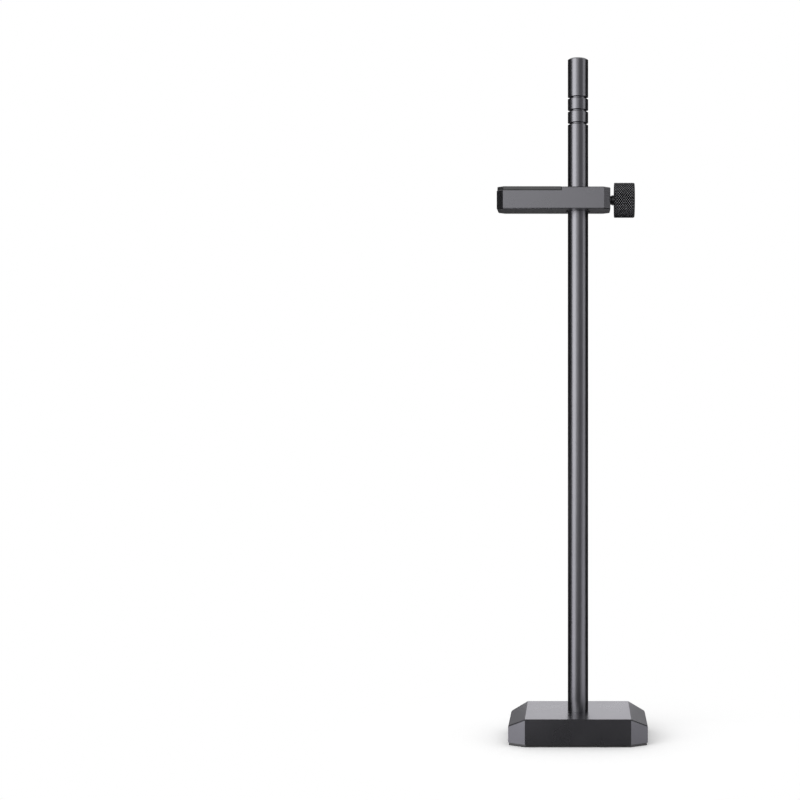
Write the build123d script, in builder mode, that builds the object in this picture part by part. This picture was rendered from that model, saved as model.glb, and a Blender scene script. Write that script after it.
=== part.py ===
from build123d import *

import os

# Support bracket for a graphics card: a low foot, a round pole screwed into it, and an arm that slides on the pole
# and is clamped by a knurled thumbscrew. Millimetres. The origin is on the pole's axis, on the floor under the foot.
# +X is the thumbscrew's side and +Z is up.

# Foot
base_length = 40.2
base_width = 28.0
base_height = 8.0
base_corner_length = 4.9
base_corner_width = 3.0
base_end_drop = 2.4
base_edge_bevel = 0.3
foot_pad_thickness = 0.8
foot_pad_inset = 0.25
foot_pad_bevel = 0.2
magnet_diameter = 10.0
magnet_thickness = 3.0
magnet_spacing = 24.0
magnet_bevel = 0.3
magnet_glue_gap = 0.1

# Pole
pole_diameter = 6.0
pole_height = 192.0
pole_crown = 0.3
pole_bevel_width = 0.5
pole_bevel_height = 0.35
groove_count = 3
groove_first = 11.9
groove_pitch = 3.8
groove_mouth = 0.7
groove_floor = 0.24
groove_depth = 0.54
spigot_diameter = 5.0
spigot_length = 5.0
spigot_bevel = 0.5
spigot_hole_spare = 0.5
spigot_hole_bevel = 0.2

# Arm
arm_height = 158.1
arm_reach = 23.7
arm_tail = 9.45
arm_width = 13.2
arm_thickness = 6.4
arm_corner_bevel = 1.9
arm_edge_bevel = 0.22
bore_mouth_bevel = 0.5
arm_pad_thickness = 1.0
arm_pad_proud = 0.1
arm_pad_margin = 0.2
arm_pad_bevel = 0.2
arm_pad_step = 4.7

# Thumbscrew
thread_diameter = 3.0
thread_bevel = 0.4
thread_mouth_bevel = 0.3
neck_diameter = 2.6
neck_gap = 1.15
neck_depth = 1.0
collar_length = 0.6
head_diameter = 10.45
head_length = 6.0
head_bevel = 0.12
rim_length = 0.3
rim_depth = 0.3
knurl_teeth = 36
knurl_depth = 0.3
knurl_twist = 45.0

# Radial clearances of the fits
slide_clearance = 0.1
thread_clearance = 0.05
tip_clearance = 0.05

# Places that follow from the sizes
base_flat_half = base_length / 2 - base_corner_length
pole_radius = pole_diameter / 2
pole_top = base_height + pole_height
crown_rim = pole_top - pole_crown
spigot_radius = spigot_diameter / 2
spigot_end = base_height - spigot_length
arm_bottom = arm_height - arm_thickness / 2
arm_top = arm_height + arm_thickness / 2
arm_pad_seat = arm_top + arm_pad_proud - arm_pad_thickness
bore_radius = pole_radius + slide_clearance
thread_radius = thread_diameter / 2
thread_hole_radius = thread_radius + thread_clearance
tip_start = pole_radius + tip_clearance
neck_start = arm_tail - neck_depth
neck_radius = neck_diameter / 2
neck_slope = thread_radius - neck_radius
head_start = arm_tail + neck_gap
collar_start = head_start - collar_length
head_end = head_start + head_length
head_radius = head_diameter / 2

# Plan of the foot: a rectangle with its four corners cut off
with BuildSketch() as base_plan:
    with BuildLine():
        Polyline(
            (base_length / 2, 0),
            (base_length / 2, base_width / 2 - base_corner_width),
            (base_flat_half, base_width / 2),
            (0, base_width / 2),
        )
        mirror(about=Plane.YZ)
        mirror(about=Plane.XZ)
    make_face()

# Plan of the arm: a bar round the pole with bevelled corners
with BuildSketch() as arm_plan:
    with Locations(((arm_tail - arm_reach) / 2, 0)):
        Rectangle(arm_tail + arm_reach, arm_width)
    chamfer(arm_plan.vertices(), arm_corner_bevel)

# Foot block: sloped ends meet the cut corners, and the pole screws into the middle
with BuildPart() as base_block:
    with BuildSketch(Plane.XY.offset(foot_pad_thickness)):
        add(base_plan.sketch)
    extrude(amount=base_height - foot_pad_thickness)
    with BuildSketch(Plane.XZ):
        with BuildLine():
            Polyline(
                (base_flat_half, base_height),
                (base_length / 2, base_height),
                (base_length / 2, base_height - base_end_drop),
                close=True,
            )
        make_face()
        mirror(about=Plane.YZ)
    extrude(amount=base_width, both=True, mode=Mode.SUBTRACT)
    edges = base_block.edges()
    floor_edges = base_block.faces().sort_by(Axis.Z)[0].edges()
    fold_edges = edges.filter_by(Axis.Y).group_by(Axis.Z)[-1]
    chamfer(edges - edges.filter_by(Axis.Z) - floor_edges - fold_edges, base_edge_bevel)
    with Locations((0, 0, base_height)):
        Hole(spigot_radius + thread_clearance, depth=spigot_length + spigot_hole_spare)
    chamfer(base_block.edges().filter_by(GeomType.CIRCLE).sort_by(Axis.Z)[-1], spigot_hole_bevel)
    with BuildSketch(Plane.XY.offset(foot_pad_thickness)):
        with GridLocations(magnet_spacing, 0, 2, 1):
            Circle(magnet_diameter / 2 + magnet_glue_gap)
    extrude(amount=magnet_thickness + magnet_glue_gap, mode=Mode.SUBTRACT)

# Soft pad under the foot
with BuildPart() as foot_pad:
    with BuildSketch():
        offset(base_plan.sketch, amount=-foot_pad_inset, kind=Kind.INTERSECTION)
    extrude(amount=foot_pad_thickness)
    chamfer(foot_pad.faces().sort_by(Axis.Z)[0].edges(), foot_pad_bevel)

# Disc magnets behind the pad
magnets = {}
for side, sign in (("left", -1), ("right", 1)):
    with BuildPart() as magnet:
        with BuildSketch(Plane.XY.offset(foot_pad_thickness)):
            with Locations((sign * magnet_spacing / 2, 0)):
                Circle(magnet_diameter / 2)
        extrude(amount=magnet_thickness)
        chamfer(magnet.edges().filter_by(GeomType.CIRCLE), magnet_bevel)
    magnets[f"magnet_{side}"] = magnet

# Pole, turned in one piece: spigot, shoulder, grooves, bevel and slightly domed end
grooves = []
for index in reversed(range(groove_count)):
    groove_height = pole_top - groove_first - index * groove_pitch
    grooves += [
        (pole_radius, groove_height - groove_mouth / 2),
        (pole_radius - groove_depth, groove_height - groove_floor / 2),
        (pole_radius - groove_depth, groove_height + groove_floor / 2),
        (pole_radius, groove_height + groove_mouth / 2),
    ]
with BuildPart() as pole:
    with BuildSketch(Plane.XZ):
        with BuildLine():
            Polyline(
                (0, pole_top),
                (0, spigot_end),
                (spigot_radius - spigot_bevel, spigot_end),
                (spigot_radius, spigot_end + spigot_bevel),
                (spigot_radius, base_height),
                (pole_radius, base_height),
                *grooves,
                (pole_radius, crown_rim - pole_bevel_height),
                (pole_radius - pole_bevel_width, crown_rim),
            )
            TangentArc((0, pole_top), (pole_radius - pole_bevel_width, crown_rim), tangent=(1, 0))
        make_face()
    revolve(axis=Axis.Z)

# Sliding arm: bored for the pole, with a seat for the pad and a tapped hole for the thumbscrew
with BuildPart() as arm_block:
    with BuildSketch(Plane.XY.offset(arm_bottom)):
        add(arm_plan.sketch)
    extrude(amount=arm_thickness)
    with BuildSketch(Plane.XY.offset(arm_pad_seat)):
        with Locations((-arm_pad_step, 0)):
            Rectangle(arm_reach, arm_width, align=(Align.MAX, Align.CENTER))
    extrude(amount=arm_thickness, mode=Mode.SUBTRACT)
    step = arm_block.faces().filter_by(Axis.X).sort_by(Axis.X)[1]
    chamfer(arm_block.edges().filter_by(Plane.XY) - step.edges(), arm_edge_bevel)
    with Locations((0, 0, arm_top)):
        Hole(bore_radius)
    chamfer(arm_block.edges().filter_by(GeomType.CIRCLE), bore_mouth_bevel)
    with Locations(Plane(origin=(arm_tail, 0, arm_height), z_dir=(1, 0, 0))):
        Hole(thread_hole_radius, depth=arm_tail)
    chamfer(arm_block.edges().filter_by(GeomType.CIRCLE).sort_by(Axis.X)[-1], thread_mouth_bevel)

# Soft pad let into the top of the arm
with BuildPart() as arm_pad:
    with BuildSketch(Plane.XY.offset(arm_pad_seat)) as pad_plan:
        offset(arm_plan.sketch, amount=-arm_pad_margin, kind=Kind.INTERSECTION)
        with Locations((-arm_pad_step, 0)):
            Rectangle(arm_reach, arm_width, align=(Align.MAX, Align.CENTER), mode=Mode.INTERSECT)
        chamfer(pad_plan.vertices().group_by(Axis.X)[-1], arm_pad_bevel)
    extrude(amount=arm_pad_thickness)
    chamfer(arm_pad.faces().sort_by(Axis.Z)[-1].edges(), arm_pad_bevel)

# Knurl of the grip: two stars, twisted opposite ways, overlap in rows of pointed diamonds
knurl_points = []
for tooth in range(knurl_teeth):
    knurl_points += [
        Vector(head_radius, 0).rotate(Axis.Z, 360 * tooth / knurl_teeth),
        Vector(head_radius - knurl_depth, 0).rotate(Axis.Z, 360 * (tooth + 0.5) / knurl_teeth),
    ]
with BuildSketch(Plane(origin=(head_start, 0, arm_height), x_dir=(0, 1, 0), z_dir=(1, 0, 0))) as star:
    with BuildLine():
        Polyline(*knurl_points, close=True)
    make_face()
twisted_stars = [
    Solid.extrude_linear_with_rotation(
        star.sketch.face(), (head_start, 0, arm_height), (head_length, 0, 0), hand * knurl_twist
    )
    for hand in (1, -1)
]

# Thumbscrew in one piece: knurled grip with turned rims, relieved neck with a collar, and threaded shank
screw_axis = Axis((0, 0, arm_height), (1, 0, 0))
screw_section = Plane(origin=(0, 0, arm_height), x_dir=(1, 0, 0), z_dir=(0, -1, 0))
with BuildPart() as thumbscrew:
    add(twisted_stars[0])
    add(twisted_stars[1], mode=Mode.INTERSECT)
    with BuildSketch(screw_section):
        with BuildLine():
            Polyline(
                (head_start, 0),
                (head_start, head_radius - head_bevel),
                (head_start + 2 * head_bevel, head_radius + head_bevel),
                (head_end - 2 * rim_length, head_radius + rim_depth),
                (head_end, head_radius - rim_depth),
                (head_end, 0),
                close=True,
            )
        make_face()
    revolve(axis=screw_axis, mode=Mode.INTERSECT)
    with BuildSketch(screw_section):
        with BuildLine():
            Polyline(
                (tip_start, 0),
                (tip_start, thread_radius - thread_bevel),
                (tip_start + thread_bevel, thread_radius),
                (neck_start, thread_radius),
                (neck_start + neck_slope, neck_radius),
                (collar_start - neck_slope, neck_radius),
                (collar_start, thread_radius),
                (head_start, thread_radius),
                (head_start, 0),
                close=True,
            )
        make_face()
    revolve(axis=screw_axis)

pieces = {
    "base_block": base_block,
    "foot_pad": foot_pad,
    **magnets,
    "pole": pole,
    "arm_block": arm_block,
    "arm_pad": arm_pad,
    "thumbscrew": thumbscrew,
}
os.makedirs("parts", exist_ok=True)
for name, piece in pieces.items():
    piece.part.label = name
    export_step(piece.part, f"parts/{name}.step")
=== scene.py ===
import math

import bmesh
import bpy
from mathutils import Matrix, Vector


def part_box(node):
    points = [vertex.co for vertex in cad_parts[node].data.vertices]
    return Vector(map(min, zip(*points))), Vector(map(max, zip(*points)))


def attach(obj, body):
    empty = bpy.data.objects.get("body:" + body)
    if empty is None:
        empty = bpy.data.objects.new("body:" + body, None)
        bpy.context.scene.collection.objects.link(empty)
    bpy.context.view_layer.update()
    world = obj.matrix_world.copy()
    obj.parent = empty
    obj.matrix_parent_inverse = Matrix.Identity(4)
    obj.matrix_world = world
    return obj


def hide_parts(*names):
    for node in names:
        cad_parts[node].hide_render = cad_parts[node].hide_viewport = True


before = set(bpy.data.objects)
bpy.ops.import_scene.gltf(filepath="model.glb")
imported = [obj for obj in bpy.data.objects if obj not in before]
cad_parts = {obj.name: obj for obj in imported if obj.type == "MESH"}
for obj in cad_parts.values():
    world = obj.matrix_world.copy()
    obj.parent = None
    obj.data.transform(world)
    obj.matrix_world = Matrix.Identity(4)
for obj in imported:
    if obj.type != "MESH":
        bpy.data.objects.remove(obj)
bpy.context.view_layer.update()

bl_info = {
    "name": "Card Support Bracket",
    "version": (1, 0, 0),
    "blender": (4, 5, 0),
    "location": "View3D > Sidebar > Bracket",
    "description": "Finishes a standing support bracket: anodised metal, rubber pads and a knurled screw",
    "category": "Object",
}

MM = 0.001
TINY = 1e-9  # radii closer than this count as equal

# Fineness of the meshes
POLE_SEGMENTS = 96
POLE_THREAD_STEPS = 10  # rings to a turn of the thread
SCREW_THREAD_STEPS = 8
KNURL_STEPS = 8  # segments and rings to a diamond
RIM_STEPS = 4  # steps across the rounded rim of a pad
CROWN_SHARES = (1, 0.8, 0.6, 0.4, 0.2, 0.02)  # rings of the pole's domed end, as shares of its radius
SHARP_ANGLE = math.radians(24)


# Sizes and colours

class PoleSizes(bpy.types.PropertyGroup):
    """Turned details of the pole that its box doesn't give"""

    groove_count: bpy.props.IntProperty(
        name="Grooves", description="Grooves turned near the top of the pole", default=3, min=0)
    groove_first: bpy.props.FloatProperty(
        name="First groove", description="Middle of the top groove below the pole's end",
        default=11.9 * MM, unit="LENGTH")
    groove_pitch: bpy.props.FloatProperty(
        name="Groove pitch", description="Distance from one groove to the next",
        default=3.8 * MM, unit="LENGTH")
    groove_mouth: bpy.props.FloatProperty(
        name="Groove mouth", description="Width of a groove at the surface", default=0.7 * MM, unit="LENGTH")
    groove_floor: bpy.props.FloatProperty(
        name="Groove floor", description="Width of a groove at its bottom", default=0.24 * MM, unit="LENGTH")
    groove_depth: bpy.props.FloatProperty(
        name="Groove depth", description="Depth of a groove", default=0.54 * MM, unit="LENGTH")
    edge_round: bpy.props.FloatProperty(
        name="Edge round", description="Radius that breaks the turned edges",
        default=0.03 * MM, unit="LENGTH")
    crown: bpy.props.FloatProperty(
        name="Crown", description="Height of the slightly domed end", default=0.3 * MM, unit="LENGTH")
    bevel_width: bpy.props.FloatProperty(
        name="Bevel width", description="How far the end bevel cuts in", default=0.5 * MM, unit="LENGTH")
    bevel_height: bpy.props.FloatProperty(
        name="Bevel height", description="How far the end bevel runs down", default=0.35 * MM, unit="LENGTH")
    spigot_radius: bpy.props.FloatProperty(
        name="Spigot radius", description="Radius over the thread at the foot of the pole",
        default=2.5 * MM, unit="LENGTH")
    spigot_bevel: bpy.props.FloatProperty(
        name="Spigot bevel", description="Lead-in at the end of the thread", default=0.5 * MM, unit="LENGTH")
    thread_pitch: bpy.props.FloatProperty(
        name="Thread pitch", description="Pitch of the spigot's thread", default=0.8 * MM, unit="LENGTH")
    thread_depth: bpy.props.FloatProperty(
        name="Thread depth", description="Depth of the spigot's thread", default=0.43 * MM, unit="LENGTH")


class ScrewSizes(bpy.types.PropertyGroup):
    """Details of the thumbscrew that its box doesn't give"""

    head_length: bpy.props.FloatProperty(
        name="Head length", description="Length of the knurled grip", default=6.0 * MM, unit="LENGTH")
    head_bevel: bpy.props.FloatProperty(
        name="Head bevel", description="Broken edge at the arm's side of the grip",
        default=0.12 * MM, unit="LENGTH")
    rim_length: bpy.props.FloatProperty(
        name="Rim length", description="Length of the bevel at the grip's free end",
        default=0.3 * MM, unit="LENGTH")
    rim_depth: bpy.props.FloatProperty(
        name="Rim depth", description="Depth of the bevel at the grip's free end",
        default=0.3 * MM, unit="LENGTH")
    knurl_teeth: bpy.props.IntProperty(
        name="Knurl teeth", description="Diamonds round the grip", default=36, min=8)
    knurl_pitch: bpy.props.FloatProperty(
        name="Knurl pitch", description="Length of a diamond along the grip",
        default=2 / 3 * MM, unit="LENGTH")
    knurl_land: bpy.props.FloatProperty(
        name="Knurl land",
        description="Height, as a share of a full point, at which the diamonds are flattened",
        default=0.68, min=0.1, max=1)
    knurl_depth: bpy.props.FloatProperty(
        name="Knurl depth", description="Height of a full point", default=0.3 * MM, unit="LENGTH")
    face_rim: bpy.props.FloatProperty(
        name="Face rim", description="Width of the flat rim round the dished end",
        default=1.1 * MM, unit="LENGTH")
    face_dish: bpy.props.FloatProperty(
        name="Face dish", description="Depth of the turned dish in the end", default=0.25 * MM, unit="LENGTH")
    thread_radius: bpy.props.FloatProperty(
        name="Thread radius", description="Radius over the screw's thread", default=1.5 * MM, unit="LENGTH")
    thread_pitch: bpy.props.FloatProperty(
        name="Thread pitch", description="Pitch of the screw's thread", default=0.5 * MM, unit="LENGTH")
    thread_depth: bpy.props.FloatProperty(
        name="Thread depth", description="Depth of the screw's thread", default=0.27 * MM, unit="LENGTH")
    thread_bevel: bpy.props.FloatProperty(
        name="Thread bevel", description="Lead-in at the screw's tip", default=0.4 * MM, unit="LENGTH")
    neck_radius: bpy.props.FloatProperty(
        name="Neck radius", description="Radius of the relieved neck", default=1.3 * MM, unit="LENGTH")
    neck_depth: bpy.props.FloatProperty(
        name="Neck depth", description="How far the neck runs into the arm", default=1.0 * MM, unit="LENGTH")
    collar_length: bpy.props.FloatProperty(
        name="Collar length", description="Length of the collar behind the grip",
        default=0.6 * MM, unit="LENGTH")


class PadSizes(bpy.types.PropertyGroup):
    """Shape of the two soft pads"""

    arm_corner: bpy.props.FloatProperty(
        name="Arm pad corner", description="Corner cut at the pad's outer end",
        default=1.78 * MM, unit="LENGTH")
    step_corner: bpy.props.FloatProperty(
        name="Step corner", description="Corner cut where the arm pad meets the step",
        default=0.2 * MM, unit="LENGTH")
    foot_corner_length: bpy.props.FloatProperty(
        name="Foot pad corner length", description="Corner cut along the foot",
        default=4.83 * MM, unit="LENGTH")
    foot_corner_width: bpy.props.FloatProperty(
        name="Foot pad corner width", description="Corner cut across the foot",
        default=2.96 * MM, unit="LENGTH")
    rounding: bpy.props.FloatProperty(
        name="Rounding", description="Rounded rim of a moulded pad", default=0.2 * MM, unit="LENGTH")


class Finishes(bpy.types.PropertyGroup):
    """Colours and grain of the finishes"""

    anodised: bpy.props.FloatVectorProperty(
        name="Anodised", description="Dark grey anodised aluminium", subtype="COLOR",
        default=(0.140, 0.139, 0.150), min=0, max=1)
    black_screw: bpy.props.FloatVectorProperty(
        name="Black screw", description="Black anodised thumbscrew", subtype="COLOR",
        default=(0.050, 0.050, 0.052), min=0, max=1)
    # Painted shade: a darker black laid into the knurl's valleys
    screw_valley_shade: bpy.props.FloatVectorProperty(
        name="Screw valleys", description="Black between the teeth of the knurl", subtype="COLOR",
        default=(0.009, 0.009, 0.0094), min=0, max=1)
    # Painted highlight: a brighter tone laid onto the flattened knurl tips so that they glint
    screw_tip_highlight: bpy.props.FloatVectorProperty(
        name="Screw tips", description="Knurl tips, polished by handling", subtype="COLOR",
        default=(0.285, 0.285, 0.298), min=0, max=1)
    rubber: bpy.props.FloatVectorProperty(
        name="Rubber", description="Black silicone rubber", subtype="COLOR",
        default=(0.015, 0.015, 0.0156), min=0, max=1)
    nickel: bpy.props.FloatVectorProperty(
        name="Nickel", description="Nickel plating of the magnets", subtype="COLOR",
        default=(0.62, 0.60, 0.56), min=0, max=1)
    grain_size: bpy.props.FloatProperty(
        name="Grain size", description="Size of a blasted dimple", default=0.14 * MM, unit="LENGTH")


class StageSizes(bpy.types.PropertyGroup):
    """Camera, floor and lights"""

    camera_distance: bpy.props.FloatProperty(
        name="Camera distance", description="From the lens to the pole's axis",
        default=459.5 * MM, unit="LENGTH")
    camera_height: bpy.props.FloatProperty(
        name="Camera height", description="Lens above the floor", default=98.7 * MM, unit="LENGTH")
    focal_length: bpy.props.FloatProperty(
        name="Focal length", description="Focal length on a 36 mm sensor, in millimetres", default=70.2)
    axis_column: bpy.props.FloatProperty(
        name="Axis column", description="Pixel column of the pole's axis", default=578.0, subtype="PIXEL")
    horizon_row: bpy.props.FloatProperty(
        name="Horizon row", description="Pixel row of the horizon", default=402.0, subtype="PIXEL")
    image_side: bpy.props.FloatProperty(
        name="Image side", description="Side of the square image", default=800.0, subtype="PIXEL")
    floor_radius: bpy.props.FloatProperty(
        name="Floor radius", description="Radius of the floor", default=3.0, unit="LENGTH")
    floor_tone: bpy.props.FloatProperty(
        name="Floor tone", description="Reflectance of the pale floor", default=0.9, min=0, max=1)
    shadow_reach: bpy.props.FloatVectorProperty(
        name="Shadow reach", description="Distances from the pole over which the floor fades to plain white",
        size=2, default=(25 * MM, 80 * MM), min=0, unit="LENGTH")
    ambient: bpy.props.FloatProperty(
        name="Ambient", description="Even light from all round", default=1.0, min=0)
    key_light: bpy.props.FloatProperty(
        name="Key light", description="Brightness of the large softbox on the left", default=2.95, min=0)
    key_wing: bpy.props.FloatProperty(
        name="Key wing", description="Brightness of the softbox's dimmer side towards the camera",
        default=0.46, min=0)
    fill_light: bpy.props.FloatProperty(
        name="Fill light", description="Brightness of the softbox on the right", default=0.67, min=0)
    left_bounce: bpy.props.FloatVectorProperty(
        name="Left bounce", description="Brightness of the low cards on the left, near and far",
        size=2, default=(1.44, 2.56), min=0)
    right_bounce: bpy.props.FloatVectorProperty(
        name="Right bounce", description="Brightness of the low cards on the right, near and far",
        size=2, default=(0.92, 1.62), min=0)
    back_glow: bpy.props.FloatProperty(
        name="Back glow", description="Brightness of the card behind, which shows in the level faces",
        default=1.235, min=0)
    slope_glow: bpy.props.FloatVectorProperty(
        name="Slope glow",
        description="Brightness of the cards that show in the foot's slopes, left and right",
        size=2, default=(0.32, 0.4), min=0)


# Meshes

def thread_height(turn):
    """Height of a thread's flank, 0 at the root and 1 at the crest, over one turn"""
    crest, root = 1 / 16, 3 / 8  # ends of the flank, in turns from the middle of the crest
    offset = abs(turn % 1 - 0.5)
    return min(1, max(0, (root - offset) / (root - crest)))


def plain_rings(outline, segments):
    """Rings of a plain turned shape, from places along the axis and the radii there"""
    return [(along, [radius] * segments) for along, radius in outline]


def threaded_rings(start, end, radius, depth, pitch, segments, steps):
    """Rings of a screw thread between two places along the axis, running out at both ends"""
    count = math.ceil((end - start) / pitch * steps)
    rings = []
    for index in range(count + 1):
        along = start + (end - start) * index / count
        fade = min(1, (along - start) / pitch, (end - along) / pitch)
        turns = (along / pitch - segment / segments for segment in range(segments))
        rings.append((along, [radius - depth * fade * (1 - thread_height(turn)) for turn in turns]))
    return rings


def ridge_height(turn):
    """Height of a row of pointed ridges, 0 in the valleys and 1 on the ridges"""
    return 1 - abs(2 * (turn % 1) - 1)


def knurled_rings(start, end, radius, sizes):
    """Rings of diamonds: two rows of ridges cross, and their points are flattened"""
    segments = KNURL_STEPS * sizes.knurl_teeth
    count = round((end - start) / sizes.knurl_pitch * KNURL_STEPS)
    rings = []
    for row in range(count + 1):
        radii = []
        for segment in range(segments):
            ridges = [ridge_height((segment + shift) / KNURL_STEPS) for shift in (row, -row)]
            radii.append(radius - sizes.knurl_depth * (1 - min(*ridges, sizes.knurl_land)))
        rings.append((start + (end - start) * row / count, radii))
    return rings


def smooth_mesh(mesh, shape):
    """Fills a mesh with a finished shape, shaded smooth between its sharp edges"""
    bmesh.ops.recalc_face_normals(shape, faces=shape.faces)
    shape.to_mesh(mesh)
    shape.free()
    mesh.shade_smooth()
    mesh.set_sharp_from_angle(angle=SHARP_ANGLE)
    return mesh


def turned_mesh(name, rings, place):
    """Closed mesh through rings; place makes a point of a distance along the axis, an angle and a radius"""
    segments = len(rings[0][1])
    points = []
    for along, radii in rings:
        points += [place(along, math.tau * index / segments, radius) for index, radius in enumerate(radii)]
    faces = []
    for row, ((_, near), (_, far)) in enumerate(zip(rings, rings[1:])):
        for index in range(segments):
            after = (index + 1) % segments
            a, b = row * segments + index, row * segments + after
            c, d = b + segments, a + segments
            # A face that isn't flat is split along its lower diagonal
            across = near[after] + far[index] - near[index] - far[after]
            if abs(across) < TINY:
                faces.append((a, b, c, d))
            elif across < 0:
                faces += [(a, b, d), (b, c, d)]
            else:
                faces += [(a, b, c), (a, c, d)]
    for row, turn in ((0, -1), (len(rings) - 1, 1)):
        ring = [row * segments + index for index in range(segments)][::turn]
        points.append(place(rings[row][0], 0, 0))
        faces += [(ring[index - 1], ring[index], len(points) - 1) for index in range(segments)]
    mesh = bpy.data.meshes.new(name)
    mesh.from_pydata(points, [], faces)
    shape = bmesh.new()
    shape.from_mesh(mesh)
    return smooth_mesh(mesh, shape)


def cut_plan(low, high, right_cut, left_cut):
    """Plan of a box with its corners cut off; a cut is its length along X and its width along Y"""
    right_length, right_width = right_cut
    left_length, left_width = left_cut
    return [
        (high.x - right_length, low.y), (high.x, low.y + right_width),
        (high.x, high.y - right_width), (high.x - right_length, high.y),
        (low.x + left_length, high.y), (low.x, high.y - left_width),
        (low.x, low.y + left_width), (low.x + left_length, low.y),
    ]


def slab_mesh(name, plan, bottom, top, rounding, round_top):
    """Upright slab over a plan, with the rim of its free face rounded"""
    shape = bmesh.new()
    lower, upper = ([shape.verts.new((x, y, height)) for x, y in plan] for height in (bottom, top))
    shape.faces.new(lower[::-1])
    shape.faces.new(upper)
    for index in range(len(plan)):
        shape.faces.new((lower[index - 1], lower[index], upper[index], upper[index - 1]))
    shape.normal_update()
    free = upper if round_top else lower
    rim = [edge for edge in shape.edges if all(vertex in free for vertex in edge.verts)]
    bmesh.ops.bevel(shape, geom=rim, offset=rounding, segments=RIM_STEPS, profile=0.5, affect="EDGES")
    return smooth_mesh(bpy.data.meshes.new(name), shape)


def add_object(name, mesh, material):
    piece = bpy.data.objects.new(name, mesh)
    bpy.context.scene.collection.objects.link(piece)
    mesh.materials.append(material)
    return piece


def stand_for(node, mesh, material, body):
    """Puts a finished mesh in the place of a node of the frame"""
    piece = add_object(f"{node}_finished", mesh, material)
    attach(piece, body)
    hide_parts(node)


def dress(node, material):
    """Gives a node of the frame its finish"""
    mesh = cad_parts[node].data
    mesh.materials.clear()
    mesh.materials.append(material)


# Finishes

def add_node(tree, kind, **values):
    node = tree.nodes.new(kind)
    for name, value in values.items():
        setattr(node, name, value)
    return node


def piece_place(tree):
    """Place on the piece, in metres"""
    return add_node(tree, "ShaderNodeTexCoord").outputs["Object"]


def parts_of(tree, vector):
    node = add_node(tree, "ShaderNodeSeparateXYZ")
    tree.links.new(vector, node.inputs[0])
    return node.outputs["X"], node.outputs["Y"], node.outputs["Z"]


def vector_of(tree, *parts):
    node = add_node(tree, "ShaderNodeCombineXYZ")
    for part, socket in zip(parts, node.inputs):
        tree.links.new(part, socket)
    return node.outputs[0]


def length_of(tree, vector):
    node = add_node(tree, "ShaderNodeVectorMath", operation="LENGTH")
    tree.links.new(vector, node.inputs[0])
    return node.outputs["Value"]


def math_node(tree, operation, first, second):
    """Result of an operation on two values, each a number or a socket"""
    node = add_node(tree, "ShaderNodeMath", operation=operation)
    for socket, value in zip(node.inputs, (first, second)):
        if isinstance(value, (int, float)):
            socket.default_value = value
        else:
            tree.links.new(value, socket)
    return node.outputs[0]


def map_range(tree, value, span, result=(0, 1), interpolation="LINEAR"):
    """Value carried from one span to another, and held at its ends"""
    node = add_node(tree, "ShaderNodeMapRange", interpolation_type=interpolation)
    for name, limit in zip(("From Min", "From Max", "To Min", "To Max"), (*span, *result)):
        node.inputs[name].default_value = limit
    tree.links.new(value, node.inputs["Value"])
    return node.outputs[0]


def noise_node(tree, vector, scale, detail, dimensions="3D"):
    node = add_node(tree, "ShaderNodeTexNoise", noise_dimensions=dimensions)
    node.inputs["Detail"].default_value = detail
    tree.links.new(vector, node.inputs["Vector"])
    tree.links.new(scale, node.inputs["Scale"])
    return node.outputs["Fac"]


def new_group(name, inputs, outputs):
    """Empty shader group with named sockets"""
    group = bpy.data.node_groups.new(name, "ShaderNodeTree")
    for socket, kind, default in inputs:
        made = group.interface.new_socket(socket, in_out="INPUT", socket_type=kind)
        made.default_value = default
    for socket, kind in outputs:
        group.interface.new_socket(socket, in_out="OUTPUT", socket_type=kind)
    return group, add_node(group, "NodeGroupInput").outputs, add_node(group, "NodeGroupOutput").inputs


def grain_group():
    """Fine dimples with a little drift in tone and gloss"""
    group, given, result = new_group(
        "fine_grain",
        [
            ("Tone", "NodeSocketColor", (0.1, 0.1, 0.1, 1)),
            ("Tone Drift", "NodeSocketFloat", 0.1),
            ("Roughness", "NodeSocketFloat", 0.3),
            ("Roughness Drift", "NodeSocketFloat", 0.05),
            ("Grain Size", "NodeSocketFloat", 0.14 * MM),
        ],
        [("Color", "NodeSocketColor"), ("Roughness", "NodeSocketFloat"), ("Height", "NodeSocketFloat")],
    )
    grains_to_cloud = 60

    def drifted(value, noise, drift):
        swing = math_node(group, "MULTIPLY", math_node(group, "SUBTRACT", noise, 0.5), drift)
        return math_node(group, "ADD", value, swing)

    place = piece_place(group)
    scale = math_node(group, "DIVIDE", 1, given["Grain Size"])
    grain = noise_node(group, place, scale, detail=2)
    cloud = noise_node(group, place, math_node(group, "DIVIDE", scale, grains_to_cloud), detail=3)
    mixed = math_node(group, "MULTIPLY", math_node(group, "ADD", grain, cloud), 0.5)
    tone = add_node(group, "ShaderNodeVectorMath", operation="SCALE")
    group.links.new(given["Tone"], tone.inputs[0])
    group.links.new(drifted(1, mixed, given["Tone Drift"]), tone.inputs["Scale"])
    group.links.new(tone.outputs[0], result["Color"])
    group.links.new(drifted(given["Roughness"], cloud, given["Roughness Drift"]), result["Roughness"])
    group.links.new(grain, result["Height"])
    return group


def turning_group():
    """Fine rings that a lathe leaves round an axis along Z"""
    group, given, result = new_group(
        "turning_marks",
        [("Vector", "NodeSocketVector", (0, 0, 0)), ("Pitch", "NodeSocketFloat", 0.1 * MM)],
        [("Height", "NodeSocketFloat")],
    )
    across, up, along = parts_of(group, given["Vector"])
    rings = vector_of(group, length_of(group, vector_of(group, across, up)), along)
    scale = math_node(group, "DIVIDE", 1, given["Pitch"])
    group.links.new(noise_node(group, rings, scale, detail=2, dimensions="2D"), result["Height"])
    return group


def shared_group(name, build):
    """The group of that name, built where it is first used"""
    return bpy.data.node_groups.get(name) or build()


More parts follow.
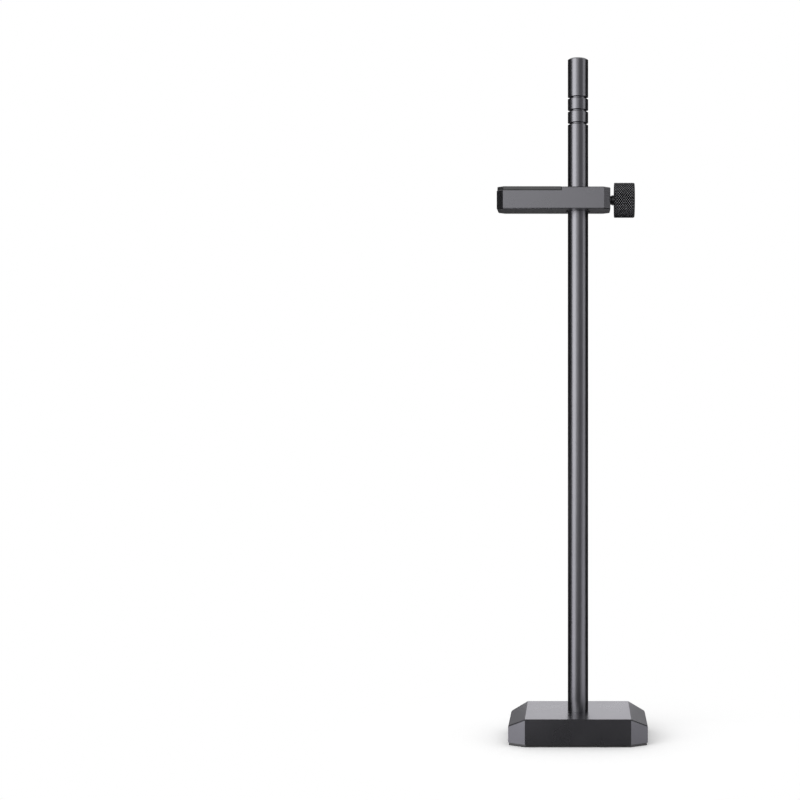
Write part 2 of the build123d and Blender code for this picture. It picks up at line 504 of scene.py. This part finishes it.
def grained_material(name, tone, *, roughness, tone_drift, roughness_drift, grain_size, grain_height, metallic):
    """Material with the fine grain; returns it with its grain and bump nodes"""
    material = bpy.data.materials.new(name)
    material.use_nodes = True
    tree = material.node_tree
    shader = tree.nodes["Principled BSDF"]
    shader.inputs["Metallic"].default_value = metallic
    grain = add_node(tree, "ShaderNodeGroup", node_tree=shared_group("fine_grain", grain_group))
    grain.inputs["Tone"].default_value = (*tone, 1)
    grain.inputs["Tone Drift"].default_value = tone_drift
    grain.inputs["Roughness"].default_value = roughness
    grain.inputs["Roughness Drift"].default_value = roughness_drift
    grain.inputs["Grain Size"].default_value = grain_size
    bump = add_node(tree, "ShaderNodeBump")
    bump.inputs["Distance"].default_value = grain_height
    tree.links.new(grain.outputs["Color"], shader.inputs["Base Color"])
    tree.links.new(grain.outputs["Roughness"], shader.inputs["Roughness"])
    tree.links.new(grain.outputs["Height"], bump.inputs["Height"])
    tree.links.new(bump.outputs["Normal"], shader.inputs["Normal"])
    return material, grain, bump


def add_turning(tree, bump, vector, *, pitch, height):
    """Adds turning marks under the grain's bump"""
    marks = add_node(tree, "ShaderNodeGroup", node_tree=shared_group("turning_marks", turning_group))
    marks.inputs["Pitch"].default_value = pitch
    tree.links.new(vector, marks.inputs["Vector"])
    turned = add_node(tree, "ShaderNodeBump")
    turned.inputs["Distance"].default_value = height
    tree.links.new(marks.outputs["Height"], turned.inputs["Height"])
    tree.links.new(turned.outputs["Normal"], bump.inputs["Normal"])


def anodised_material(finishes, name, roughness):
    """Blasted and anodised aluminium; returns what grained_material does"""
    return grained_material(
        name, finishes.anodised, roughness=roughness, tone_drift=0.25, roughness_drift=0.06,
        grain_size=finishes.grain_size, grain_height=0.004 * MM, metallic=1)


def pole_material(finishes):
    """Anodised finish over the marks of the lathe"""
    material, _, bump = anodised_material(finishes, "anodised_pole", roughness=0.3)
    tree = material.node_tree
    add_turning(tree, bump, piece_place(tree), pitch=0.12 * MM, height=0.0008 * MM)
    return material


def screw_material(finishes, sizes, axis_height, radius):
    """Black finish, with painted shade between the teeth of the knurl and a painted highlight on their
    flattened tips
    """
    roughness, highlight_roughness = 0.26, 0.38
    material, grain, bump = grained_material(
        "black_anodised_screw", finishes.black_screw, roughness=roughness, tone_drift=0.2, roughness_drift=0.08,
        grain_size=finishes.grain_size, grain_height=0.002 * MM, metallic=1)
    tree = material.node_tree
    along, across, height = parts_of(tree, piece_place(tree))
    up = math_node(tree, "SUBTRACT", height, axis_height)
    add_turning(tree, bump, vector_of(tree, across, up, along), pitch=0.09 * MM, height=0.001 * MM)
    from_axis = length_of(tree, vector_of(tree, across, up))
    root = radius - sizes.knurl_depth
    land = root + sizes.knurl_depth * sizes.knurl_land
    ease = 0.005 * MM
    highlight_span = land - 0.06 * MM, land - 0.01 * MM
    # Tones by distance from the axis: the plain black finish, painted shade in the knurl's valleys, and a
    # painted highlight on the flattened tips
    tones = add_node(tree, "ShaderNodeValToRGB")
    stops = tones.color_ramp.elements
    stops.remove(stops[0])
    stops[0].position, stops[0].color = 0, (*finishes.black_screw, 1)
    for distance, tone in (
            (root - ease, finishes.black_screw), (root + ease, finishes.screw_valley_shade),
            (highlight_span[0], finishes.screw_valley_shade), (highlight_span[1], finishes.screw_tip_highlight)):
        stops.new(distance / radius).color = (*tone, 1)
    tree.links.new(math_node(tree, "DIVIDE", from_axis, radius), tones.inputs["Fac"])
    tree.links.new(tones.outputs["Color"], grain.inputs["Tone"])
    # The painted highlight on the tips also gets a higher roughness, which spreads it
    tree.links.new(map_range(tree, from_axis, highlight_span, (roughness, highlight_roughness)), grain.inputs["Roughness"])
    return material


def rubber_material(finishes):
    """Satin moulded silicone"""
    material, _, _ = grained_material(
        "silicone_rubber", finishes.rubber, roughness=0.32, tone_drift=0.35, roughness_drift=0.1,
        grain_size=2 * finishes.grain_size, grain_height=0.004 * MM, metallic=0)
    material.node_tree.nodes["Principled BSDF"].inputs["Specular IOR Level"].default_value = 0.72
    return material


def nickel_material(finishes, name, centre):
    """Plating over the marks of the lathe round a disc's own centre"""
    material, _, bump = grained_material(
        name, finishes.nickel, roughness=0.22, tone_drift=0.12, roughness_drift=0.12,
        grain_size=3 * finishes.grain_size, grain_height=0.001 * MM, metallic=1)
    tree = material.node_tree
    from_centre = add_node(tree, "ShaderNodeVectorMath", operation="SUBTRACT")
    tree.links.new(piece_place(tree), from_centre.inputs[0])
    from_centre.inputs[1].default_value = centre
    add_turning(tree, bump, from_centre.outputs[0], pitch=0.15 * MM, height=0.002 * MM)
    return material


# Pieces

class BRACKET_OT_add_pole(bpy.types.Operator):
    """Turn the pole with its grooves, bevelled end and threaded spigot"""

    bl_idname = "bracket.add_pole"
    bl_label = "Pole"

    def execute(self, context):
        sizes = context.scene.bracket_pole
        low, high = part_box("pole")
        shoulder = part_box("base_block")[1].z
        radius = (high.x - low.x) / 2
        ease = sizes.edge_round
        rings = plain_rings([(low.z, sizes.spigot_radius - sizes.spigot_bevel)], POLE_SEGMENTS)
        rings += threaded_rings(
            low.z + sizes.spigot_bevel, shoulder - sizes.thread_pitch / 2, sizes.spigot_radius,
            sizes.thread_depth, sizes.thread_pitch, POLE_SEGMENTS, POLE_THREAD_STEPS)
        outline = [(shoulder, sizes.spigot_radius), (shoulder, radius)]
        for index in reversed(range(sizes.groove_count)):
            middle = high.z - sizes.groove_first - index * sizes.groove_pitch
            lower = [
                (middle - sizes.groove_mouth / 2 - ease, radius),
                (middle - sizes.groove_mouth / 2, radius - ease / 2),
                (middle - sizes.groove_floor / 2, radius - sizes.groove_depth),
            ]
            outline += lower + [(2 * middle - along, size) for along, size in reversed(lower)]
        crown_rim = high.z - sizes.crown
        crown_radius = radius - sizes.bevel_width
        bevel_start = crown_rim - sizes.bevel_height
        outline += [
            (bevel_start - 4 * ease, radius),
            (bevel_start - ease, radius),
            (bevel_start + ease / 2, radius - ease / 2),
            (crown_rim - ease / 2, crown_radius + ease / 2),
        ]
        outline += [(high.z - sizes.crown * share ** 2, crown_radius * share) for share in CROWN_SHARES]
        rings += plain_rings(outline, POLE_SEGMENTS)
        mesh = turned_mesh("pole", rings, lambda along, angle, size: (
            size * math.cos(angle), size * math.sin(angle), along))
        stand_for("pole", mesh, pole_material(context.scene.bracket_finishes), "pole")
        return {"FINISHED"}


class BRACKET_OT_add_thumbscrew(bpy.types.Operator):
    """Turn the thumbscrew with its diamond knurl and thread"""

    bl_idname = "bracket.add_thumbscrew"
    bl_label = "Thumbscrew"

    def execute(self, context):
        sizes = context.scene.bracket_screw
        low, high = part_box("thumbscrew")
        axis_height = (low.z + high.z) / 2
        radius = (high.z - low.z) / 2
        head_start = high.x - sizes.head_length
        knurl = knurled_rings(head_start + sizes.head_bevel, high.x - sizes.rim_length, radius, sizes)
        segments = len(knurl[0][1])
        thread = sizes.thread_radius
        slope = thread - sizes.neck_radius
        neck_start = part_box("arm_block")[1].x - sizes.neck_depth
        collar_start = head_start - sizes.collar_length
        rings = plain_rings([(low.x, thread - sizes.thread_bevel)], segments)
        rings += threaded_rings(
            low.x + sizes.thread_bevel, neck_start, thread,
            sizes.thread_depth, sizes.thread_pitch, segments, SCREW_THREAD_STEPS)
        rings += plain_rings([
            (neck_start + slope, sizes.neck_radius), (collar_start - slope, sizes.neck_radius),
            (collar_start, thread), (head_start, thread), (head_start, radius - sizes.knurl_depth),
        ], segments)
        rings += knurl
        edge = radius - sizes.rim_depth
        dish = edge - sizes.face_rim
        rings += plain_rings([
            (high.x, edge), (high.x, dish), (high.x - sizes.face_dish, dish - sizes.face_dish),
        ], segments)
        mesh = turned_mesh("thumbscrew", rings, lambda along, angle, size: (
            along, size * math.cos(angle), axis_height + size * math.sin(angle)))
        material = screw_material(context.scene.bracket_finishes, sizes, axis_height, radius)
        stand_for("thumbscrew", mesh, material, "thumbscrew")
        return {"FINISHED"}


class BRACKET_OT_add_pads(bpy.types.Operator):
    """Mould the rubber pads of the arm and the foot"""

    bl_idname = "bracket.add_pads"
    bl_label = "Rubber pads"

    def execute(self, context):
        sizes = context.scene.bracket_pads
        rubber = rubber_material(context.scene.bracket_finishes)
        step_cut = sizes.step_corner, sizes.step_corner
        end_cut = sizes.arm_corner, sizes.arm_corner
        foot_cut = sizes.foot_corner_length, sizes.foot_corner_width
        for node, body, right_cut, left_cut, round_top in (
                ("arm_pad", "arm", step_cut, end_cut, True),
                ("foot_pad", "foot", foot_cut, foot_cut, False)):
            low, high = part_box(node)
            plan = cut_plan(low, high, right_cut, left_cut)
            mesh = slab_mesh(node, plan, low.z, high.z, sizes.rounding, round_top)
            stand_for(node, mesh, rubber, body)
        return {"FINISHED"}


class BRACKET_OT_finish_blocks(bpy.types.Operator):
    """Anodise the foot block and the arm block"""

    bl_idname = "bracket.finish_blocks"
    bl_label = "Foot and arm blocks"

    def execute(self, context):
        material, _, _ = anodised_material(context.scene.bracket_finishes, "anodised_block", roughness=0.28)
        for node in ("base_block", "arm_block"):
            dress(node, material)
        return {"FINISHED"}


class BRACKET_OT_finish_magnets(bpy.types.Operator):
    """Plate the magnets behind the foot's pad"""

    bl_idname = "bracket.finish_magnets"
    bl_label = "Magnets"

    def execute(self, context):
        for node in ("magnet_left", "magnet_right"):
            low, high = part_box(node)
            dress(node, nickel_material(context.scene.bracket_finishes, f"nickel_{node}", (low + high) / 2))
        return {"FINISHED"}


# Stage: metres from the pole, and degrees from the camera's side, to the right if positive

CARD_COLOUR = (0.97, 0.96, 1)
CARD_BEND = 5  # degrees to a step of a curved card
CARD_LIFT = 0.05 * MM  # height of the floor cards over the foot's underside
FLOOR_DROP = 0.01 * MM  # depth of the floor under it
FLOOR_CORNERS = 60
LIGHT_DISTANCE = 1.0
SIDE_DISTANCE = 0.95  # black cards at the sides
BACK_DISTANCE = 0.13  # black cards close behind
SLOPE_DISTANCE = 0.125  # cards that show in the foot's slopes
FRONT_DISTANCE = 0.98  # grey card and the end of the grey floor
BACK_START = 148  # angle at which the cards behind start
BACK_WINDOW = 165.5  # angle at which they let the glow behind through


def around(azimuth, distance, height):
    """Point at an angle and a distance from the pole"""
    angle = math.radians(azimuth)
    return Vector((math.sin(angle) * distance, -math.cos(angle) * distance, height))


def background_rays(tree):
    """1 for the rays that show the background: those of the camera, of gloss and of glass"""
    path = add_node(tree, "ShaderNodeLightPath").outputs
    seen = math_node(tree, "MAXIMUM", path["Is Camera Ray"], path["Is Glossy Ray"])
    return math_node(tree, "MAXIMUM", seen, path["Is Transmission Ray"])


def glow_material(name, brightness):
    material = bpy.data.materials.new(name)
    material.use_nodes = True
    tree = material.node_tree
    tree.nodes.remove(tree.nodes["Principled BSDF"])
    glow = add_node(tree, "ShaderNodeEmission")
    glow.inputs["Color"].default_value = (*CARD_COLOUR, 1)
    glow.inputs["Strength"].default_value = brightness
    tree.links.new(glow.outputs[0], tree.nodes["Material Output"].inputs["Surface"])
    return material


def studio_card(name, points, faces, brightness):
    """Card that only shows in gloss: black at a brightness of 0, and a bounce above it"""
    mesh = bpy.data.meshes.new(name)
    mesh.from_pydata(points, [], faces)
    card = add_object(name, mesh, glow_material(name, brightness))
    card.visible_camera = False
    card.visible_diffuse = False
    card.visible_transmission = False
    card.visible_shadow = False


def curved_card(name, angles, distance, heights, brightness):
    """Upright card bent round the pole between two angles"""
    start, end = angles
    steps = max(2, round(abs(end - start) / CARD_BEND))
    points = []
    for index in range(steps + 1):
        azimuth = start + (end - start) * index / steps
        points += [around(azimuth, distance, height) for height in heights]
    faces = [(2 * index, 2 * index + 2, 2 * index + 3, 2 * index + 1) for index in range(steps)]
    studio_card(name, points, faces, brightness)


def floor_card(name, starts, angles, reach, brightness):
    """Card on the floor between two lines, each from its own start in the direction of its angle"""
    points = []
    for start, azimuth in zip(starts, angles):
        points += [Vector((*start, CARD_LIFT)) + around(azimuth, distance, 0) for distance in reach]
    studio_card(name, points, [(0, 1, 3, 2)], brightness)


def softbox(name, azimuth, heights, width, brightness):
    """Area light that faces the pole; its power follows from the brightness of its face"""
    bottom, top = heights
    data = bpy.data.lights.new(name, "AREA")
    data.shape = "RECTANGLE"
    data.size = width
    data.size_y = top - bottom
    data.energy = brightness * math.pi * data.size * data.size_y
    light = bpy.data.objects.new(name, data)
    light.location = around(azimuth, LIGHT_DISTANCE, (bottom + top) / 2)
    light.rotation_euler = (math.radians(90), 0, math.radians(azimuth))
    light.visible_camera = False
    bpy.context.scene.collection.objects.link(light)


class BRACKET_OT_set_stage(bpy.types.Operator):
    """Set the floor, the soft lights, the cards and the camera"""

    bl_idname = "bracket.set_stage"
    bl_label = "Stage"

    def execute(self, context):
        scene = context.scene
        sizes = scene.bracket_stage
        self.set_world(scene, sizes)
        self.set_floor(sizes)
        for name, azimuth, heights, width, brightness in (
                ("key_softbox", -43, (0, 0.76), 0.8, sizes.key_light),
                ("key_wing", -8, (0.1, 0.76), 0.49, sizes.key_wing),
                ("fill_softbox", 73, (0, 0.6), 0.48, sizes.fill_light)):
            softbox(name, azimuth, heights, width, brightness)
        self.set_upright_cards(sizes)
        self.set_overhead_card()
        self.set_floor_cards(scene.bracket_pads, sizes)
        self.set_camera(scene, sizes)
        return {"FINISHED"}

    def set_world(self, scene, sizes):
        world = bpy.data.worlds.new("studio")
        scene.world = world
        world.use_nodes = True
        world.cycles.sampling_method = "NONE"
        tree = world.node_tree
        # The background stays white, whatever the ambient light
        whitened = math_node(tree, "MULTIPLY", background_rays(tree), 1 - sizes.ambient)
        background = tree.nodes["Background"]
        background.inputs["Color"].default_value = (1, 1, 1, 1)
        tree.links.new(math_node(tree, "ADD", sizes.ambient, whitened), background.inputs["Strength"])
        scene.view_settings.view_transform = "Standard"

    def set_floor(self, sizes):
        mesh = bpy.data.meshes.new("floor")
        corners = range(FLOOR_CORNERS)
        points = [around(360 * corner / FLOOR_CORNERS, sizes.floor_radius, -FLOOR_DROP) for corner in corners]
        mesh.from_pydata(points, [], [corners])
        material = bpy.data.materials.new("pale_floor")
        material.use_nodes = True
        material.cycles.emission_sampling = "NONE"
        tree = material.node_tree
        shader = tree.nodes["Principled BSDF"]
        shader.inputs["Base Color"].default_value = (*[sizes.floor_tone] * 3, 1)
        shader.inputs["Roughness"].default_value = 0.9
        shader.inputs["Specular IOR Level"].default_value = 0
        glow = add_node(tree, "ShaderNodeEmission")
        # Away from the foot, the floor is as white as the background
        fade = map_range(
            tree, length_of(tree, piece_place(tree)), sizes.shadow_reach, interpolation="SMOOTHSTEP")
        mix = add_node(tree, "ShaderNodeMixShader")
        tree.links.new(math_node(tree, "MULTIPLY", background_rays(tree), fade), mix.inputs["Fac"])
        tree.links.new(shader.outputs[0], mix.inputs[1])
        tree.links.new(glow.outputs[0], mix.inputs[2])
        tree.links.new(mix.outputs[0], tree.nodes["Material Output"].inputs["Surface"])
        add_object("floor", mesh, material)

    def set_upright_cards(self, sizes):
        left_slope, right_slope = sizes.slope_glow
        for name, angles, distance, heights, brightness in (
                ("left_black_card", (-72, -152), SIDE_DISTANCE, (0, 0.62), 0),
                ("right_black_card", (87.3, 152), SIDE_DISTANCE, (0, 0.62), 0),
                ("left_back_card", (-BACK_START, -BACK_WINDOW), BACK_DISTANCE, (0, 0.27), 0),
                ("right_back_card", (BACK_START, BACK_WINDOW), BACK_DISTANCE, (0, 0.27), 0),
                ("back_black_card", (BACK_WINDOW, 360 - BACK_WINDOW), BACK_DISTANCE, (0.095, 0.19), 0.046),
                ("back_glow_card", (155, 205), 0.5, (0, 0.5), sizes.back_glow),
                ("left_slope_card", (-BACK_WINDOW, -BACK_START), SLOPE_DISTANCE, (0, 0.07), left_slope),
                ("right_slope_card", (BACK_WINDOW, BACK_START), SLOPE_DISTANCE, (0, 0.07), right_slope),
                ("front_grey_card", (5.8, 59.5), FRONT_DISTANCE, (0, 0.8), 0.37)):
            curved_card(name, angles, distance, heights, brightness)

    def set_overhead_card(self):
        side, front, back, height = 0.12, -0.17, 0.02, 0.42
        corners = (-side, front), (side, front), (side, back), (-side, back)
        studio_card("overhead_black_card", [(x, y, height) for x, y in corners], [range(len(corners))], 0)

    def set_floor_cards(self, pads, sizes):
        pole = (0, 0), (0, 0)
        floor_card("grey_floor_card", pole, (-28, 40), (0.16, FRONT_DISTANCE), 0.25)
        low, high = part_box("base_block")
        gap = 0.2 * MM
        facet_start = high.x - pads.foot_corner_length, low.y - gap
        facet_end = high.x + gap, low.y + pads.foot_corner_width
        for side, sign, bounce, lit, dark in (
                ("left", -1, sizes.left_bounce, (28, 73), 72),
                ("right", 1, sizes.right_bounce, (40, 86), 87)):
            facet = [(sign * x, y) for x, y in (facet_start, facet_end)]
            near_bounce, far_bounce = bounce
            for name, starts, angles, reach, brightness in (
                    ("near_card", facet, (42, 86), (0, 0.045), near_bounce),
                    ("far_card", facet, lit, (0.05, 0.9), far_bounce),
                    ("foot_floor_card", pole, (88, 162), (0.03, 0.068), 0.22),
                    ("black_floor_card", pole, (dark + 1, 162), (0.068, 0.16), 0),
                    ("far_floor_card", pole, (dark, 150), (0.13, SIDE_DISTANCE), 0)):
                floor_card(f"{side}_{name}", starts, [sign * angle for angle in angles], reach, brightness)
        x, y = facet_start
        floor_card("front_dark_card", ((-x, y), (x, y)), (-20, 20), (0, 0.15), 0.107)

    def set_camera(self, scene, sizes):
        data = bpy.data.cameras.new("camera")
        data.lens = sizes.focal_length
        data.shift_x = 0.5 - sizes.axis_column / sizes.image_side
        data.shift_y = sizes.horizon_row / sizes.image_side - 0.5
        camera = bpy.data.objects.new("camera", data)
        camera.location = (0, -sizes.camera_distance, sizes.camera_height)
        camera.rotation_euler = (math.radians(90), 0, 0)
        scene.collection.objects.link(camera)
        scene.camera = camera


class BRACKET_PT_sidebar(bpy.types.Panel):
    """Lists the steps that finish the bracket"""

    bl_idname = "BRACKET_PT_sidebar"
    bl_label = "Support bracket"
    bl_space_type = "VIEW_3D"
    bl_region_type = "UI"
    bl_category = "Bracket"

    def draw(self, context):
        for step in STEPS:
            self.layout.operator(step.bl_idname)
        for name in SETTINGS:
            settings = getattr(context.scene, name)
            box = self.layout.box()
            for field in settings.__annotations__:
                box.prop(settings, field)


STEPS = (
    BRACKET_OT_finish_blocks,
    BRACKET_OT_finish_magnets,
    BRACKET_OT_add_pole,
    BRACKET_OT_add_pads,
    BRACKET_OT_add_thumbscrew,
    BRACKET_OT_set_stage,
)
SETTINGS = {
    "bracket_pole": PoleSizes,
    "bracket_screw": ScrewSizes,
    "bracket_pads": PadSizes,
    "bracket_finishes": Finishes,
    "bracket_stage": StageSizes,
}
CLASSES = (*SETTINGS.values(), *STEPS, BRACKET_PT_sidebar)


def register():
    for made in CLASSES:
        bpy.utils.register_class(made)
    for name, settings in SETTINGS.items():
        setattr(bpy.types.Scene, name, bpy.props.PointerProperty(type=settings))


def unregister():
    for name in SETTINGS:
        delattr(bpy.types.Scene, name)
    for made in reversed(CLASSES):
        bpy.utils.unregister_class(made)


def main():
    register()
    bpy.ops.bracket.finish_blocks()
    bpy.ops.bracket.finish_magnets()
    bpy.ops.bracket.add_pole()
    bpy.ops.bracket.add_pads()
    bpy.ops.bracket.add_thumbscrew()
    bpy.ops.bracket.set_stage()


if __name__ == "__main__":
    main()
